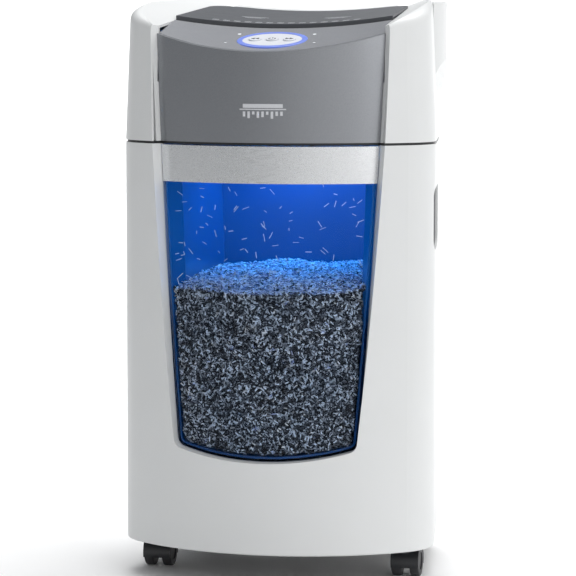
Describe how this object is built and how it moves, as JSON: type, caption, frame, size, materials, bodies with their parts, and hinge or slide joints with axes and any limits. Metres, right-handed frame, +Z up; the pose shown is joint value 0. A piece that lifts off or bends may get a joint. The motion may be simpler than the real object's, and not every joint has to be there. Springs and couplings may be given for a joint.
{
  "type": "paper shredder",
  "caption": "Floor-standing cross-cut paper shredder with a bowed white casing, twin-wheel castors, a dished cutting head and a pull-out bin with a see-through front.",
  "frame": {"origin": "on the floor under the middle of the machine's overall box", "axes": "+Z up, -Y is the bowed front with the window, +X is the user's right when facing the front"},
  "size_m": [0.38, 0.345, 0.6999],
  "materials": {
    "casing_white": "fine-textured moulded plastic",
    "fascia_grey": "satin metallic paint",
    "panel_grey": "satin metallic paint",
    "inlet_dark": "fine-textured",
    "band_silver": "brushed silver paint",
    "window_blue": "clear tinted",
    "tub_blue": "translucent moulded",
    "shreds": "loose cross-cut paper",
    "trim_black": "fine-textured",
    "grip_grey": "fine-textured",
    "castor_black": "satin moulded",
    "castor_tread": "worn",
    "steel": "ground",
    "plate_zinc": "zinc plated",
    "rotor_steel": "turned",
    "gear_nylon": "moulded",
    "bush_bronze": "sintered",
    "can_aluminium": "drawn can",
    "board_green": "solder resist",
    "ring_light": "light guide",
    "button_white": "satin"
  },
  "bodies": {
    "cabinet": {"back_screws": "steel", "base_tray": "trim_black", "bin_shelf": "trim_black", "button_bezel": "button_white", "cabinet_back": "casing_white", "cabinet_shell": "casing_white", "capacitor": "can_aluminium", "castor_stems": "steel", "control_board": "board_green", "control_panel": "panel_grey", "ear_left": "casing_white", "ear_right": "casing_white", "flag_bracket": "trim_black", "front_fascia": "fascia_grey", "gear_pins": "steel", "grip_cups": "grip_grey", "head_deck": "trim_black", "head_rear_cover": "casing_white", "inlet_panel": "inlet_dark", "interlock_switch": "trim_black", "led_strip": "ring_light", "light_ring": "ring_light", "motor_housing": "plate_zinc", "power_inlet": "trim_black", "shaft_bushes": "bush_bronze", "side_plate_left": "plate_zinc", "side_plate_right": "plate_zinc", "status_icons": "button_white", "strippers": "trim_black", "switch_frame": "trim_black", "throat_guides": "inlet_dark", "tie_rods": "steel"},
    "bin": {"bin_tub": "tub_blue", "bin_window": "window_blue", "bin_band": "band_silver", "shredded_paper": "shreds"},
    "cutter_rear": {"cutter_shaft_rear": "steel", "cutter_discs_rear": "steel", "sync_gear_rear": "rotor_steel", "drive_gear": "gear_nylon"},
    "cutter_front": {"cutter_shaft_front": "steel", "cutter_discs_front": "steel", "sync_gear_front": "rotor_steel"},
    "gear_one": {"compound_gear_one": "gear_nylon"},
    "gear_two": {"compound_gear_two": "gear_nylon"},
    "rotor": {"motor_rotor": "rotor_steel"},
    "reverse_key": {"button_reverse": "button_white"},
    "power_key": {"button_power": "button_white"},
    "forward_key": {"button_forward": "button_white"},
    "rocker": {"rocker_switch": "trim_black"},
    "flag": {"paper_flag": "trim_black"},
    "plunger": {"interlock_plunger": "trim_black"},
    "castor_fl_swivel": {"castor_fl_hood": "castor_black"},
    "castor_fl_roll": {"castor_fl_wheels": "castor_tread"},
    "castor_fr_swivel": {"castor_fr_hood": "castor_black"},
    "castor_fr_roll": {"castor_fr_wheels": "castor_tread"},
    "castor_rl_swivel": {"castor_rl_hood": "castor_black"},
    "castor_rl_roll": {"castor_rl_wheels": "castor_tread"},
    "castor_rr_swivel": {"castor_rr_hood": "castor_black"},
    "castor_rr_roll": {"castor_rr_wheels": "castor_tread"}
  },
  "joints": [
    {"name": "bin_slide", "type": "slide", "parent": "cabinet", "child": "bin", "axis": [0, -1, 0], "range_m": [0, 0.28]},
    {"name": "castor_fl_swivel", "type": "hinge", "parent": "cabinet", "child": "castor_fl_swivel", "pos_m": [-0.155, -0.058, 0.036], "axis": [0, 0, 1], "continuous": true},
    {"name": "castor_fl_roll", "type": "hinge", "parent": "castor_fl_swivel", "child": "castor_fl_roll", "pos_m": [-0.155, -0.047, 0.0185], "axis": [1, 0, 0], "continuous": true},
    {"name": "castor_fr_swivel", "type": "hinge", "parent": "cabinet", "child": "castor_fr_swivel", "pos_m": [0.155, -0.058, 0.036], "axis": [0, 0, 1], "continuous": true},
    {"name": "castor_fr_roll", "type": "hinge", "parent": "castor_fr_swivel", "child": "castor_fr_roll", "pos_m": [0.155, -0.047, 0.0185], "axis": [1, 0, 0], "continuous": true},
    {"name": "castor_rl_swivel", "type": "hinge", "parent": "cabinet", "child": "castor_rl_swivel", "pos_m": [-0.124, 0.118, 0.036], "axis": [0, 0, 1], "continuous": true},
    {"name": "castor_rl_roll", "type": "hinge", "parent": "castor_rl_swivel", "child": "castor_rl_roll", "pos_m": [-0.124, 0.129, 0.0185], "axis": [1, 0, 0], "continuous": true},
    {"name": "castor_rr_swivel", "type": "hinge", "parent": "cabinet", "child": "castor_rr_swivel", "pos_m": [0.124, 0.118, 0.036], "axis": [0, 0, 1], "continuous": true},
    {"name": "castor_rr_roll", "type": "hinge", "parent": "castor_rr_swivel", "child": "castor_rr_roll", "pos_m": [0.124, 0.129, 0.0185], "axis": [1, 0, 0], "continuous": true},
    {"name": "rotor_spin", "type": "hinge", "parent": "cabinet", "child": "rotor", "pos_m": [0, 0.083, 0.585], "axis": [1, 0, 0], "continuous": true},
    {"name": "gear_two_spin", "type": "hinge", "parent": "cabinet", "child": "gear_two", "pos_m": [0, 0.058, 0.585], "axis": [1, 0, 0], "continuous": true},
    {"name": "gear_one_spin", "type": "hinge", "parent": "cabinet", "child": "gear_one", "pos_m": [0, 0.022, 0.585], "axis": [1, 0, 0], "continuous": true},
    {"name": "cutter_rear_spin", "type": "hinge", "parent": "cabinet", "child": "cutter_rear", "pos_m": [0, -0.028, 0.585], "axis": [1, 0, 0], "continuous": true},
    {"name": "cutter_front_spin", "type": "hinge", "parent": "cabinet", "child": "cutter_front", "pos_m": [0, -0.064, 0.585], "axis": [1, 0, 0], "continuous": true},
    {"name": "reverse_press", "type": "slide", "parent": "cabinet", "child": "reverse_key", "axis": [0, 0.238, -0.9713], "range_m": [0, 0.0018], "stiffness_N_per_m": 200, "springref_m": -0.002},
    {"name": "power_press", "type": "slide", "parent": "cabinet", "child": "power_key", "axis": [0, 0.238, -0.9713], "range_m": [0, 0.0018], "stiffness_N_per_m": 200, "springref_m": -0.002},
    {"name": "forward_press", "type": "slide", "parent": "cabinet", "child": "forward_key", "axis": [0, 0.238, -0.9713], "range_m": [0, 0.0018], "stiffness_N_per_m": 200, "springref_m": -0.002},
    {"name": "rocker_tip", "type": "hinge", "parent": "cabinet", "child": "rocker", "pos_m": [-0.014, 0.1615, 0.562], "axis": [1, 0, 0], "range_deg": [0, 16]},
    {"name": "flag_tip", "type": "hinge", "parent": "cabinet", "child": "flag", "pos_m": [-0.03, -0.032, 0.64], "axis": [1, 0, 0], "range_deg": [0, 34], "stiffness_Nm_per_rad": 0.002, "springref_deg": -11.46},
    {"name": "plunger_press", "type": "slide", "parent": "cabinet", "child": "plunger", "axis": [0, 0, 1], "range_m": [0, 0.0024], "stiffness_N_per_m": 150, "springref_m": -0.002}
  ],
  "couplings": [
    {"joint": "gear_two_spin", "follows": "rotor_spin", "ratio": -0.25},
    {"joint": "gear_one_spin", "follows": "rotor_spin", "ratio": 0.083333},
    {"joint": "cutter_rear_spin", "follows": "rotor_spin", "ratio": -0.020833},
    {"joint": "cutter_front_spin", "follows": "rotor_spin", "ratio": 0.020833}
  ]
}
